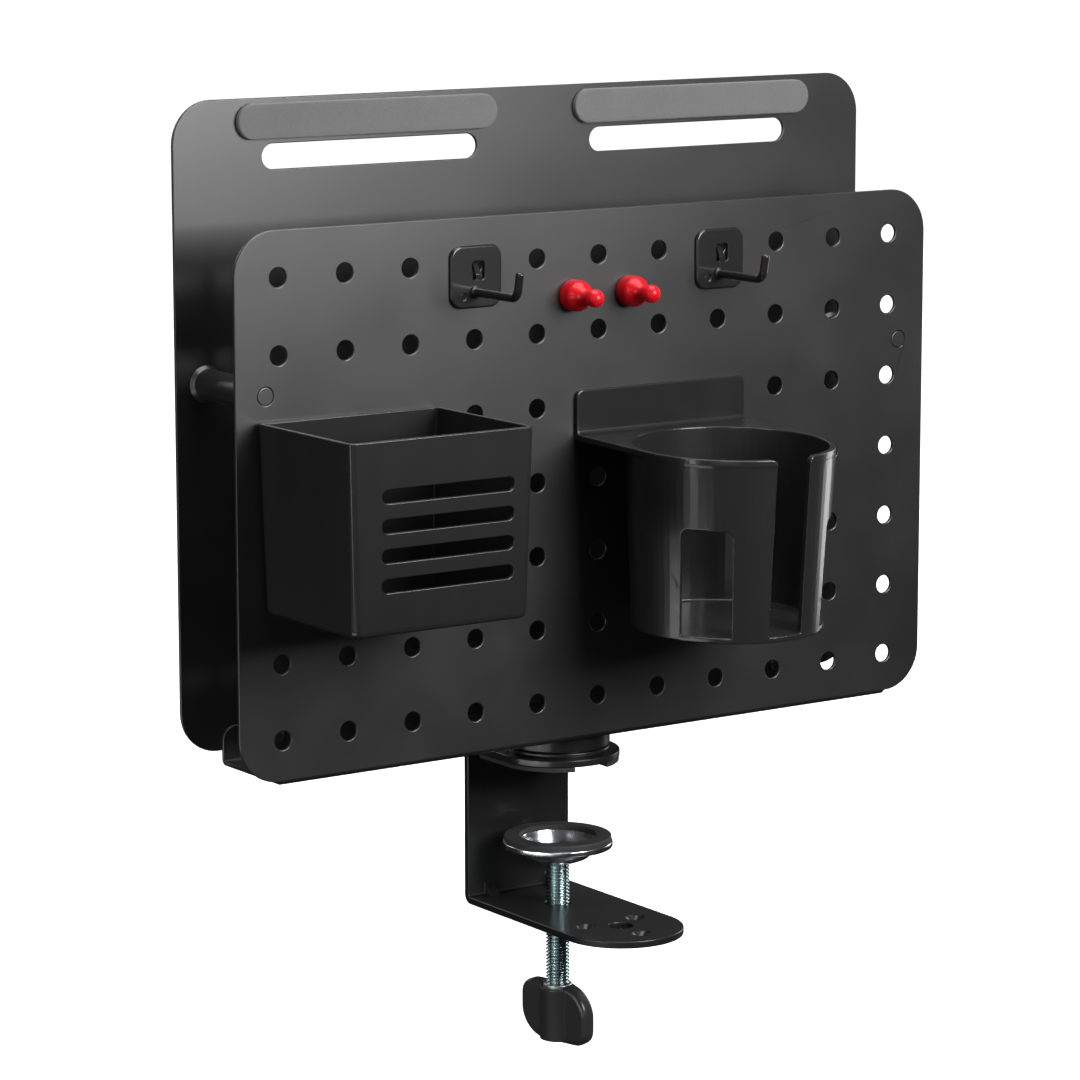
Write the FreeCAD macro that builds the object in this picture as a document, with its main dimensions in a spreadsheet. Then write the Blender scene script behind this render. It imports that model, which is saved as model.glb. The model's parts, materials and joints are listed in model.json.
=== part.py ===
import FreeCAD, Part
import os
import math
import Sketcher
from FreeCAD import Vector, Rotation, Placement

# Pegboard desk organizer on a screw clamp. Millimetres, +Z up, +Y from the
# user towards the board. Origin: centre of the desk-top contact face of the
# upper jaw pad, on the swivel axis and the clamp-screw axis.

doc = FreeCAD.newDocument("PegboardOrganizer")
sheet = doc.addObject("Spreadsheet::Sheet", "Dims")

CELLS = [
    # front pegboard (bent sheet: panel, tray bend, tray, rear flange)
    ("pitch", 30.0), ("hole_dia", 7.6), ("hole_cols", 11), ("first_row", 32.3),
    ("sheet", 1.5), ("panel_w", 339.0), ("panel_top", 230.6), ("panel_low", 15.9), ("panel_round", 18.0),
    ("front_face", -28.5), ("tray_w", 302.0), ("tray_low", 14.3), ("tray_rear", 17.0), ("flange_top", 30.0),
    ("bend_in", 1.0), ("bend_out", 2.5),
    # rear panel
    ("rear_w", 338.2), ("rear_low", 20.0), ("rear_top", 277.2), ("rear_round", 17.0),
    ("slot_len", 101.0), ("slot_wide", 10.0), ("slot_off", 78.5), ("slot_lift", 254.2),
    # standoffs and sheet fasteners
    ("post_x", 156.1), ("post_lift", 167.1), ("post_dia", 12.0), ("post_face", 7.2), ("post_bore", 4.2),
    ("screw_five", 5.0), ("rivet_lift", 23.0), ("rivet_near", 42.0), ("rivet_far", 126.0), ("rivet_dia", 4.0),
    # foam pads
    ("foam_len", 121.5), ("foam_wide", 14.0), ("foam_thick", 2.5), ("foam_x", 80.0), ("foam_lift", 268.1),
    # clamp bracket
    ("plate", 3.0), ("clamp_half", 25.7), ("arm_low", 2.0), ("leg_in", 28.5), ("jaw_low", -64.05), ("jaw_reach", -44.8),
    ("clamp_bend_in", 1.0), ("clamp_bend_out", 4.0), ("dart_x", 15.4), ("dart_wide", 4.4), ("dart_leg", 5.2),
    ("hub_hole", 5.15), ("fix_x", 12.47), ("fix_y", 7.2), ("fix_front", -14.4), ("fix_hole", 2.25), ("fix_sink", 4.5), ("screw_hole", 5.4),
    # jaw pad
    ("pad_half", 25.4), ("pad_thick", 2.0), ("pad_back", 20.5), ("pad_slot", 8.0), ("pad_slot_y", -14.4),
    # swivel
    ("base_rad", 21.6), ("base_top", 7.0), ("step_rad", 19.0), ("step_top", 8.6), ("hub_rad", 5.05),
    ("pivot_rad", 4.0), ("pivot_gap", 0.05), ("boss_low", 7.2), ("recess_rad", 19.3), ("recess_top", 9.7), ("friction_top", 9.6),
    ("boss_fix", 14.0),
    # clamp screw, disc, ring, nut
    ("thread_rad", 5.0), ("nut_high", 6.5), ("nut_flat", 16.0), ("disc_rad", 22.9), ("disc_top", -34.2), ("disc_edge", 2.5),
    ("ring_rad", 22.4), ("ring_in", 15.85), ("lip_top", -33.5), ("ring_top", -31.7), ("hub_low", -43.2),
    ("neck_rad", 3.0), ("rod_top", -43.3), ("rod_end", -113.0), ("keeper_rad", 6.0),
    # knob
    ("knob_top", -97.0), ("knob_low", -120.5), ("post_low", -119.5), ("knob_hub", 7.6), ("knob_recess", 6.5),
    ("wing_top", -95.3), ("wing_half", 17.5), ("wing_thick", 7.4), ("wing_turn", -74.5), ("wing_big", 13.5), ("wing_small", 6.2), ("wing_soft", 2.2),
    ("collar_rad", 6.0), ("collar_high", 1.5),
    # pen cup
    ("pen_left", -160.9), ("pen_right", -78.1), ("pen_front", -96.5), ("pen_back", -29.5), ("pen_top", 157.3), ("pen_low", 83.3),
    ("pen_low_left", -158.3), ("pen_low_right", -79.9), ("pen_low_front", -94.5), ("pen_wall", 2.0), ("pen_round", 3.0), ("pen_foot", 2.6),
    ("vent_left", -146.8), ("vent_right", -87.3), ("vent_high", 5.4), ("vent_step", 11.3), ("vent_low", 99.65),
    # cup holder
    ("cup_x", 30.0), ("cup_y", -77.1), ("cup_top", 140.6), ("cup_low", 66.9), ("cup_rim", 41.9), ("cup_foot", 38.6), ("cup_wall", 2.5), ("cup_floor", 2.3),
    ("cup_hinge", 140.3), ("cup_tilt", 1.48), ("fold_round", 1.5), ("slot_lip", 2.6),
    ("lug_left", -12.0), ("lug_right", 72.4), ("lug_top", 158.5), ("lug_thick", 2.0), ("lug_round", 3.0), ("web_thick", 2.6),
    ("mug_slot", 16.0), ("window_wide", 20.7), ("window_top", 112.0), ("window_turn", 50.2), ("window_round", 3.0),
    # hanging pegs of the cups
    ("peg_row", 151.4), ("peg_wide", 4.2), ("peg_thick", 2.0), ("peg_long", 15.0), ("peg_root", 4.0), ("peg_seat", 1.2), ("peg_low", 147.5), ("peg_high", 7.5), ("hang_gap", 0.1),
    # hooks
    ("hook_off", 60.0), ("hook_half", 12.0), ("hook_low", 194.8), ("hook_high", 24.8), ("hook_thick", 1.6), ("hook_round", 5.0),
    ("hook_win_left", -2.2), ("hook_win_right", 3.8), ("hook_win_low", 205.9), ("hook_win_top", 213.3),
    ("lance_wide", 2.6), ("lance_mid", 0.8), ("lance_thick", 1.0), ("lance_run", 6.9), ("lance_lift", 211.1),
    ("wire_rad", 1.7), ("wire_x", -0.5), ("wire_lift", 201.1), ("wire_out", -59.5), ("wire_bend", 4.5), ("wire_tip", 211.6),
    ("dimple_x", 6.2), ("dimple_lift", 199.5),
    # push pins
    ("pin_left_x", -13.3), ("pin_right_x", 14.5), ("pin_lift", 196.9), ("pin_long", 19.7), ("pin_base", 6.25), ("magnet_rad", 4.5), ("magnet_thick", 3.0),
]


class Q:
    """A size: its number, and the sheet expression that gives it."""
    def __init__(self, v, s):
        self.v = float(v)
        self.s = s

    def mix(self, other, sign, flip=False):
        o = other if isinstance(other, Q) else Q(other, repr(float(other)))
        a, b = (o, self) if flip else (self, o)
        if sign == "+":
            v = a.v + b.v
        elif sign == "-":
            v = a.v - b.v
        elif sign == "*":
            v = a.v * b.v
        else:
            v = a.v / b.v
        return Q(v, "(%s %s %s)" % (a.s, sign, b.s))

    def __add__(self, o): return self.mix(o, "+")
    def __radd__(self, o): return self.mix(o, "+", True)
    def __sub__(self, o): return self.mix(o, "-")
    def __rsub__(self, o): return self.mix(o, "-", True)
    def __mul__(self, o): return self.mix(o, "*")
    def __rmul__(self, o): return self.mix(o, "*", True)
    def __truediv__(self, o): return self.mix(o, "/")
    def __rtruediv__(self, o): return self.mix(o, "/", True)
    def __neg__(self): return Q(-self.v, "(-1 * %s)" % self.s)


class Sizes:
    pass


S = Sizes()
for i, (alias, value) in enumerate(CELLS):
    row = i + 1
    sheet.set("A%d" % row, alias.replace("_", " "))
    sheet.set("B%d" % row, repr(value))
    sheet.setAlias("B%d" % row, alias)
    setattr(S, alias, Q(value, "Dims.%s" % alias))
doc.recompute()


def num(q):
    return q.v if isinstance(q, Q) else float(q)


def bind(obj, prop, q):
    """Write a size to a property, by expression when it comes from the sheet."""
    if isinstance(q, Q):
        obj.setExpression(prop, q.s)
    return num(q)


def seat(obj, x=0.0, y=0.0, z=0.0, rot=None):
    obj.Placement = Placement(Vector(num(x), num(y), num(z)), rot or Rotation())
    for axis, q in (("x", x), ("y", y), ("z", z)):
        bind(obj, "Placement.Base.%s" % axis, q)
    return obj


# ---------- Part primitives and booleans ----------

def box(name, x, y, z, dx, dy, dz, rot=None):
    b = doc.addObject("Part::Box", name)
    b.Length, b.Width, b.Height = num(dx), num(dy), num(dz)
    bind(b, "Length", dx)
    bind(b, "Width", dy)
    bind(b, "Height", dz)
    return seat(b, x, y, z, rot)


def cyl(name, x, y, z, r, length, rot=None):
    c = doc.addObject("Part::Cylinder", name)
    c.Radius, c.Height = num(r), num(length)
    bind(c, "Radius", r)
    bind(c, "Height", length)
    return seat(c, x, y, z, rot)


def cone(name, x, y, z, r1, r2, length, rot=None):
    c = doc.addObject("Part::Cone", name)
    c.Radius1, c.Radius2, c.Height = num(r1), num(r2), num(length)
    bind(c, "Radius1", r1)
    bind(c, "Radius2", r2)
    bind(c, "Height", length)
    return seat(c, x, y, z, rot)


def fuse(name, items):
    f = doc.addObject("Part::MultiFuse", name)
    f.Shapes = items
    f.Refine = True
    return f


def cut(name, base, tools):
    tool = tools[0] if len(tools) == 1 else fuse(name + "_tools", tools)
    c = doc.addObject("Part::Cut", name)
    c.Base, c.Tool = base, tool
    c.Refine = True
    return c


def group(label, items):
    g = doc.addObject("Part::Compound", label)
    g.Links = items
    g.Label = label
    return g


def round_edges(name, base, radius, wanted):
    """Part::Fillet of the base's edges that wanted(edge) picks."""
    doc.recompute()
    r = num(radius)
    picks = [(i + 1, r, r) for i, e in enumerate(base.Shape.Edges) if wanted(e)]
    if not picks:
        raise RuntimeError("no edge to round on " + base.Name)
    f = doc.addObject("Part::Fillet", name)
    f.Base = base
    f.Edges = picks
    return f


def straight(e, axis, **at):
    """True for a straight edge along axis whose middle is at the given places."""
    if e.Curve.TypeId != "Part::GeomLine":
        return False
    d = e.Vertexes[-1].Point - e.Vertexes[0].Point
    if d.Length < 1e-6 or abs(abs(getattr(d, axis)) - d.Length) > 1e-4:
        return False
    mid = (e.Vertexes[-1].Point + e.Vertexes[0].Point) * 0.5
    return all(any(abs(getattr(mid, k) - num(t)) < 0.02 for t in (v if isinstance(v, (list, tuple)) else [v]))
               for k, v in at.items())


def disc_edge(e, z, r):
    return (e.Curve.TypeId == "Part::GeomCircle" and abs(e.Curve.Radius - num(r)) < 0.02
            and abs(e.Curve.Center.z - num(z)) < 0.02)


# ---------- PartDesign bodies and sketches ----------

def new_body(label):
    b = doc.addObject("PartDesign::Body", label)
    b.Label = label
    return b


def sketch(body, plane, offset=0.0):
    """plane XY looks along +Z, XZ has its normal along -Y, YZ along +X."""
    sk = body.newObject("Sketcher::SketchObject", body.Name + "_sketch")
    ref = [f for f in body.Origin.OriginFeatures if f.Role == plane + "_Plane"][0]
    sk.AttachmentSupport = [(ref, "")]
    sk.MapMode = "FlatFace"
    sk.AttachmentOffset = Placement(Vector(0, 0, num(offset)), Rotation())
    bind(sk, "AttachmentOffset.Base.z", offset)
    return sk


def dim(sk, *args):
    """A dimension constraint; its last argument may come from the sheet."""
    q = args[-1]
    n = sk.addConstraint(Sketcher.Constraint(*(list(args[:-1]) + [num(q)])))
    if isinstance(q, Q):
        sk.setExpression("Constraints[%d]" % n, q.s)
    return n


def locate(sk, geo, pos, x, y):
    if not isinstance(x, Q) and abs(x) < 1e-9:
        sk.addConstraint(Sketcher.Constraint("PointOnObject", geo, pos, -2))
    else:
        dim(sk, "DistanceX", -1, 1, geo, pos, x)
    if not isinstance(y, Q) and abs(y) < 1e-9:
        sk.addConstraint(Sketcher.Constraint("PointOnObject", geo, pos, -1))
    else:
        dim(sk, "DistanceY", -1, 1, geo, pos, y)


def polygon(sk, pts):
    first = sk.GeometryCount
    n = len(pts)
    P = [Vector(num(a), num(b), 0) for a, b in pts]
    sk.addGeometry([Part.LineSegment(P[i], P[(i + 1) % n]) for i in range(n)], False)
    for i in range(n):
        sk.addConstraint(Sketcher.Constraint("Coincident", first + i, 2, first + (i + 1) % n, 1))
    for i in range(n):
        locate(sk, first + i, 1, pts[i][0], pts[i][1])
    return sk


def circle(sk, x, y, r):
    g = sk.addGeometry(Part.Circle(Vector(num(x), num(y), 0), Vector(0, 0, 1), num(r)), False)
    locate(sk, g, 3, x, y)
    dim(sk, "Radius", g, r)
    return sk


def rounded(sk, x1, y1, x2, y2, r):
    """Rectangle with round corners, from (x1, y1) to (x2, y2)."""
    a, b, c, d, q = num(x1), num(y1), num(x2), num(y2), num(r)
    f = sk.GeometryCount

    def arc(cx, cy, a0, a1):
        return Part.ArcOfCircle(Part.Circle(Vector(cx, cy, 0), Vector(0, 0, 1), q), a0, a1)
    h = math.pi / 2
    sk.addGeometry([
        Part.LineSegment(Vector(a + q, b, 0), Vector(c - q, b, 0)), arc(c - q, b + q, -h, 0),
        Part.LineSegment(Vector(c, b + q, 0), Vector(c, d - q, 0)), arc(c - q, d - q, 0, h),
        Part.LineSegment(Vector(c - q, d, 0), Vector(a + q, d, 0)), arc(a + q, d - q, h, 2 * h),
        Part.LineSegment(Vector(a, d - q, 0), Vector(a, b + q, 0)), arc(a + q, b + q, 2 * h, 3 * h)], False)
    for i in range(8):
        sk.addConstraint(Sketcher.Constraint("Tangent", f + i, 2, f + (i + 1) % 8, 1))
    for i in (0, 4):
        sk.addConstraint(Sketcher.Constraint("Horizontal", f + i))
    for i in (2, 6):
        sk.addConstraint(Sketcher.Constraint("Vertical", f + i))
    for i in (3, 5, 7):
        sk.addConstraint(Sketcher.Constraint("Equal", f + 1, f + i))
    dim(sk, "Radius", f + 1, r)
    dim(sk, "DistanceY", -1, 1, f, 1, y1)
    dim(sk, "DistanceX", -1, 1, f + 2, 1, x2)
    dim(sk, "DistanceY", -1, 1, f + 4, 1, y2)
    dim(sk, "DistanceX", -1, 1, f + 6, 1, x1)
    return sk


def stadium(sk, cx, cy, length, width):
    """Horizontal slot outline with full round ends."""
    r = width / 2.0
    half = length / 2.0 - r
    X, Y, R, H = num(cx), num(cy), num(r), num(half)
    f = sk.GeometryCount
    h = math.pi / 2
    sk.addGeometry([
        Part.LineSegment(Vector(X - H, Y - R, 0), Vector(X + H, Y - R, 0)),
        Part.ArcOfCircle(Part.Circle(Vector(X + H, Y, 0), Vector(0, 0, 1), R), -h, h),
        Part.LineSegment(Vector(X + H, Y + R, 0), Vector(X - H, Y + R, 0)),
        Part.ArcOfCircle(Part.Circle(Vector(X - H, Y, 0), Vector(0, 0, 1), R), h, 3 * h)], False)
    for i in range(4):
        sk.addConstraint(Sketcher.Constraint("Tangent", f + i, 2, f + (i + 1) % 4, 1))
    sk.addConstraint(Sketcher.Constraint("Horizontal", f))
    sk.addConstraint(Sketcher.Constraint("Equal", f + 1, f + 3))
    dim(sk, "Radius", f + 1, r)
    dim(sk, "DistanceX", -1, 1, f + 1, 3, cx + half)
    dim(sk, "DistanceY", -1, 1, f + 1, 3, cy)
    dim(sk, "DistanceX", -1, 1, f + 3, 3, cx - half)
    return sk


def sound(f):
    """Stop at once on a feature that failed."""
    if any(s in ("Invalid", "Error") for s in f.State) or f.Shape.isNull():
        raise RuntimeError("failed feature " + f.Name + " " + f.getStatusString())
    return f


def pad(body, sk, length, flip=False, middle=False):
    p = body.newObject("PartDesign::Pad", body.Name + "_pad")
    p.Profile = sk
    p.Length = num(length)
    bind(p, "Length", length)
    p.Reversed = flip
    if middle:
        p.SideType = "Symmetric"
    doc.recompute()
    return sound(p)


def pocket(body, sk, length, flip=False):
    before = body.Shape.Volume
    p = body.newObject("PartDesign::Pocket", body.Name + "_pocket")
    p.Profile = sk
    p.Length = num(length)
    bind(p, "Length", length)
    p.Reversed = flip
    doc.recompute()
    if body.Shape.Volume > before - 1e-6:
        raise RuntimeError("pocket cut nothing on " + body.Name)
    return sound(p)


def soften(body, radius, wanted, kind="PartDesign::Fillet"):
    doc.recompute()
    tip = body.Tip
    names = ["Edge%d" % (i + 1) for i, e in enumerate(tip.Shape.Edges) if wanted(e)]
    if not names:
        raise RuntimeError("no edge to soften on " + body.Name)
    f = body.newObject(kind, body.Name + ("_round" if kind.endswith("Fillet") else "_bevel"))
    f.Base = (tip, names)
    prop = "Radius" if kind.endswith("Fillet") else "Size"
    setattr(f, prop, num(radius))
    bind(f, prop, radius)
    doc.recompute()
    return sound(f)


def revolved(label, pts, x=0.0, y=0.0, z=0.0, rot=None):
    """Full turn of a closed (radius, height) outline about the body's Z axis."""
    b = new_body(label)
    sk = sketch(b, "XZ")
    polygon(sk, pts)
    r = b.newObject("PartDesign::Revolution", b.Name + "_turn")
    r.Profile = sk
    r.ReferenceAxis = (sk, ["V_Axis"])
    r.Angle = 360.0
    doc.recompute()
    seat(b, x, y, z, rot)
    return b


TO_FRONT = Rotation(Vector(1, 0, 0), 90)      # local +Z becomes -Y
TO_BACK = Rotation(Vector(1, 0, 0), -90)      # local +Z becomes +Y
UPSIDE = Rotation(Vector(1, 0, 0), 180)


def screw(name, x, y, z, rot, head_r, head_h, shank_r, shank_l, key, key_deep, sunk=False):
    """Machine screw: under-head plane at local z = 0, head above it; a
    countersunk head lies below that plane instead."""
    if sunk:
        head = cone(name + "_head", 0, 0, -num(head_h), num(shank_r), num(head_r), num(head_h))
        shank = cyl(name + "_shank", 0, 0, -num(shank_l), shank_r, num(shank_l) - num(head_h))
        top = 0.0
    else:
        head = cyl(name + "_head", 0, 0, 0, head_r, head_h)
        shank = cyl(name + "_shank", 0, 0, -num(shank_l), shank_r, shank_l)
        top = num(head_h)
    body = fuse(name + "_blank", [head, shank])
    if not sunk:
        body = round_edges(name + "_crown", body, min(0.8, num(head_h) * 0.35), lambda e: disc_edge(e, top, head_r))
    hexa = doc.addObject("Part::Prism", name + "_key")
    hexa.Polygon = 6
    hexa.Circumradius = key / math.sqrt(3.0)
    hexa.Height = key_deep + 1.0
    hexa.Placement = Placement(Vector(0, 0, top - key_deep), Rotation())
    done = cut(name, body, [hexa])
    return seat(done, x, y, z, rot)


NODES = []


def node(obj, label=None):
    if label:
        obj.Label = label
    NODES.append(obj)
    return obj


# =====================================================================
# Front pegboard: one 1.5 mm sheet. A tall panel, a bend at the bottom to a
# tray under it, and an upturned flange at the tray's rear edge.
# =====================================================================
fp = new_body("front_pegboard")
sk = sketch(fp, "XZ", -S.front_face)
rounded(sk, -S.panel_w / 2, S.panel_low, S.panel_w / 2, S.panel_top, S.panel_round)
pad(fp, sk, S.sheet, flip=True)
# the folded strip, as a J outline in the YZ plane
sk = sketch(fp, "YZ")
front_in = S.front_face + S.sheet
polygon(sk, [(S.front_face, S.panel_top - 60), (S.front_face, S.tray_low), (S.tray_rear, S.tray_low),
             (S.tray_rear, S.flange_top), (S.tray_rear - S.sheet, S.flange_top),
             (S.tray_rear - S.sheet, S.tray_low + S.sheet), (front_in, S.tray_low + S.sheet), (front_in, S.panel_top - 60)])
pad(fp, sk, S.tray_w, middle=True)
soften(fp, S.bend_in, lambda e: straight(e, "x", y=[front_in, S.tray_rear - S.sheet], z=S.tray_low + S.sheet))
soften(fp, S.bend_out, lambda e: straight(e, "x", y=[S.front_face, S.tray_rear], z=S.tray_low))
# round the flange's top corners
soften(fp, 6.0, lambda e: straight(e, "y", z=S.flange_top) and e.Vertexes[0].Point.y > 10)
# peg holes: one column pocketed, then patterned along the panel
sk = sketch(fp, "XZ", -S.front_face)
for k in range(7):
    circle(sk, -(S.pitch * 5), S.first_row + S.pitch * float(k), S.hole_dia / 2)
pk = pocket(fp, sk, S.sheet * 1.6)
lp = fp.newObject("PartDesign::LinearPattern", "peg_grid")
lp.Originals = [pk]
lp.Direction = (sk, ["H_Axis"])
lp.Mode = "Spacing"
lp.Occurrences = 11
lp.Offset = 30.0
lp.setExpression("Offset", "Dims.pitch")
lp.setExpression("Occurrences", "Dims.hole_cols")
doc.recompute()
fp.Tip = lp
doc.recompute()
holes = [e for e in fp.Shape.Edges if e.Curve.TypeId == "Part::GeomCircle" and abs(e.Curve.Radius - num(S.hole_dia) / 2) < 0.01]
if len(holes) != 2 * 77:
    raise RuntimeError("peg hole count %d" % (len(holes) // 2))
# holes for the standoffs' flush ends
sk = sketch(fp, "XZ", -S.front_face)
circle(sk, -S.post_x, S.post_lift, S.post_face / 2)
circle(sk, S.post_x, S.post_lift, S.post_face / 2)
pocket(fp, sk, S.sheet * 1.6)
# tray holes: pivot and three boss screws
sk = sketch(fp, "XY", S.tray_low + S.sheet + 1)
circle(sk, 0.0, 0.0, S.pivot_rad + 0.4)
for cx, cy in ((S.boss_fix * 0.866, S.boss_fix * 0.5), (-(S.boss_fix * 0.866), S.boss_fix * 0.5), (0.0, -S.boss_fix)):
    circle(sk, cx, cy, 2.1)
pocket(fp, sk, S.sheet * 3)
# rivet holes in the rear flange
sk = sketch(fp, "XZ", -(S.tray_rear - S.sheet - 1))
for x in (S.rivet_near, S.rivet_far, -S.rivet_near, -S.rivet_far):
    circle(sk, x, S.rivet_lift, S.rivet_dia / 2)
pocket(fp, sk, S.sheet * 3)
node(fp)

# =====================================================================
# Rear panel: plain 1.5 mm sheet with two long slots near its top
# =====================================================================
rp = new_body("rear_panel")
sk = sketch(rp, "XZ", -S.tray_rear)
rounded(sk, -S.rear_w / 2, S.rear_low, S.rear_w / 2, S.rear_top, S.rear_round)
pad(rp, sk, S.sheet, flip=True)
sk = sketch(rp, "XZ", -S.tray_rear)
stadium(sk, S.slot_off, S.slot_lift, S.slot_len, S.slot_wide)
stadium(sk, -S.slot_off, S.slot_lift, S.slot_len, S.slot_wide)
pocket(rp, sk, S.sheet * 1.6)
sk = sketch(rp, "XZ", -S.tray_rear)
for x in (S.post_x, -S.post_x):
    circle(sk, x, S.post_lift, S.screw_five / 2)
for x in (S.rivet_near, S.rivet_far, -S.rivet_near, -S.rivet_far):
    circle(sk, x, S.rivet_lift, S.rivet_dia / 2)
pocket(rp, sk, S.sheet * 1.6)
node(rp)

# Standoffs: turned posts whose front ends sit flush in the pegboard
gap_deep = S.tray_rear - S.front_face - S.sheet
posts = []
for side, x in (("left", -S.post_x), ("right", S.post_x)):
    posts.append(revolved("post_" + side, [
        (0.0, 0.0), (S.post_face / 2 - 0.25, 0.0), (S.post_face / 2 - 0.05, 0.3), (S.post_face / 2 - 0.05, S.sheet),
        (S.post_dia / 2 - 0.4, S.sheet), (S.post_dia / 2, S.sheet + 0.4), (S.post_dia / 2, gap_deep + S.sheet - 2.4),
        (S.post_dia / 2 + 1.4, gap_deep + S.sheet - 1.0), (S.post_dia / 2 + 1.4, gap_deep + S.sheet),
        (S.post_bore / 2, gap_deep + S.sheet), (S.post_bore / 2, gap_deep + S.sheet - 14), (0.0, gap_deep + S.sheet - 15.5)],
        x, S.front_face, S.post_lift, TO_BACK))
node(group("panel_standoffs", posts))

# M5 button-head screws through the rear panel into the standoffs
node(group("standoff_screws", [
    screw("standoff_screw_" + side, x, S.tray_rear + S.sheet, S.post_lift, TO_BACK, 4.75, 2.75, S.post_bore / 2, 12.0, 3.0, 1.6)
    for side, x in (("left", -S.post_x), ("right", S.post_x))]))

# Dome rivets: rear panel to the tray's flange
rivets = []
for i, x in enumerate((-S.rivet_far, -S.rivet_near, S.rivet_near, S.rivet_far)):
    rivets.append(revolved("rivet_%d" % (i + 1), [
        (0.0, -4.2), (1.6, -4.2), (3.0, -3.6), (3.0, -3.0), (S.rivet_dia / 2, -3.0), (S.rivet_dia / 2, 0.0),
        (4.0, 0.0), (3.8, 0.7), (2.9, 1.3), (1.4, 1.6), (0.0, 1.65)], x, S.tray_rear + S.sheet, S.rivet_lift, TO_BACK))
node(group("flange_rivets", rivets))

# Foam pads on the front of the rear panel, above its slots
for side, x in (("left", -S.foam_x), ("right", S.foam_x)):
    fb = new_body("foam_pad_" + side)
    sk = sketch(fb, "XZ", -S.tray_rear)
    stadium(sk, x, S.foam_lift, S.foam_len, S.foam_wide)
    pad(fb, sk, S.foam_thick)
    node(fb)

# =====================================================================
# Swivel: boss under the tray turns on the base, about the pivot bolt
# =====================================================================
boss = revolved("swivel_boss", [
    (S.pivot_rad + S.pivot_gap, S.recess_top), (S.recess_rad, S.recess_top), (S.recess_rad, S.boss_low),
    (S.base_rad - 0.3, S.boss_low), (S.base_rad, S.boss_low + 0.3), (S.base_rad, S.tray_low), (S.pivot_rad + S.pivot_gap, S.tray_low)])
sk = sketch(boss, "XY", S.tray_low)
for cx, cy in ((S.boss_fix * 0.866, S.boss_fix * 0.5), (-(S.boss_fix * 0.866), S.boss_fix * 0.5), (0.0, -S.boss_fix)):
    circle(sk, cx, cy, 1.95)
pocket(boss, sk, 3.9)
node(boss)

node(group("boss_screws", [
    screw("boss_screw_%d" % (i + 1), cx, cy, S.tray_low + S.sheet, Rotation(), 3.6, 2.3, 1.9, 5.2, 2.5, 1.3)
    for i, (cx, cy) in enumerate(((S.boss_fix * 0.866, S.boss_fix * 0.5), (-(S.boss_fix * 0.866), S.boss_fix * 0.5), (0.0, -S.boss_fix)))]))

base = revolved("swivel_base", [
    (2.5, S.arm_low + 0.3), (S.hub_rad - 0.4, S.arm_low + 0.3), (S.hub_rad, S.arm_low + 0.7), (S.hub_rad, S.arm_low + S.plate),
    (S.base_rad - 0.3, S.arm_low + S.plate), (S.base_rad, S.arm_low + S.plate + 0.3), (S.base_rad, S.base_top - 0.3), (S.base_rad - 0.3, S.base_top),
    (S.step_rad, S.base_top), (S.step_rad, S.step_top), (2.5, S.step_top)])
sk = sketch(base, "XY", S.arm_low + S.plate)
for cx, cy in ((S.fix_x, S.fix_y), (-S.fix_x, S.fix_y), (0.0, S.fix_front)):
    circle(sk, cx, cy, 1.95)
pocket(base, sk, 3.0, flip=True)
node(base)

# Countersunk screws, from under the upper arm into the base
node(group("swivel_base_screws", [
    screw("base_screw_%d" % (i + 1), cx, cy, S.arm_low + 0.1, UPSIDE, 4.2, 2.3, 1.9, 5.6, 2.0, 1.2, sunk=True)
    for i, (cx, cy) in enumerate(((S.fix_x, S.fix_y), (-S.fix_x, S.fix_y), (0.0, S.fix_front)))]))

node(revolved("swivel_washer", [(S.pivot_rad + 0.2, S.step_top), (18.5, S.step_top), (18.5, S.friction_top), (S.pivot_rad + 0.2, S.friction_top)]))

# Shoulder bolt: thread in the base, shoulder in the boss and tray
bolt_top = S.tray_low + S.sheet + 1.2
pb = revolved("pivot_bolt_blank", [
    (0.0, S.arm_low + 1.0), (2.1, S.arm_low + 1.0), (2.5, S.arm_low + 1.4), (2.5, S.step_top), (S.pivot_rad, S.step_top), (S.pivot_rad, bolt_top),
    (6.5, bolt_top), (6.5, bolt_top + 4.0), (5.7, bolt_top + 5.0), (0.0, bolt_top + 5.0)])
key = doc.addObject("Part::Prism", "pivot_bolt_key")
key.Polygon = 6
key.Circumradius = 5.0 / math.sqrt(3.0)
key.Height = 4.0
seat(key, 0, 0, bolt_top + 2.4)
node(cut("pivot_bolt", pb, [key]))
node(revolved("pivot_washer", [(S.pivot_rad + 0.1, bolt_top - 1.1), (9.0, bolt_top - 1.1), (9.0, bolt_top), (S.pivot_rad + 0.1, bolt_top)]))

# =====================================================================
# Clamp bracket: 3 mm plate bent to a C, with round-ended arms
# =====================================================================
cb = new_body("clamp_bracket")
sk = sketch(cb, "YZ")
leg_out = S.leg_in + S.plate
arm_top = S.arm_low + S.plate
jaw_top = S.jaw_low + S.plate
polygon(sk, [(0.0, S.arm_low), (S.leg_in, S.arm_low), (S.leg_in, jaw_top), (S.jaw_reach, jaw_top), (S.jaw_reach, S.jaw_low),
             (leg_out, S.jaw_low), (leg_out, arm_top), (0.0, arm_top)])
pad(cb, sk, S.clamp_half * 2, middle=True)
soften(cb, S.clamp_bend_in, lambda e: straight(e, "x", y=S.leg_in, z=[S.arm_low, jaw_top]))
soften(cb, S.clamp_bend_out, lambda e: straight(e, "x", y=leg_out, z=[arm_top, S.jaw_low]))
for cy, z in ((0.0, S.arm_low), (S.jaw_reach, S.jaw_low)):
    sk = sketch(cb, "XY", z)
    circle(sk, 0.0, cy, S.clamp_half)
    pad(cb, sk, S.plate)
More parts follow.
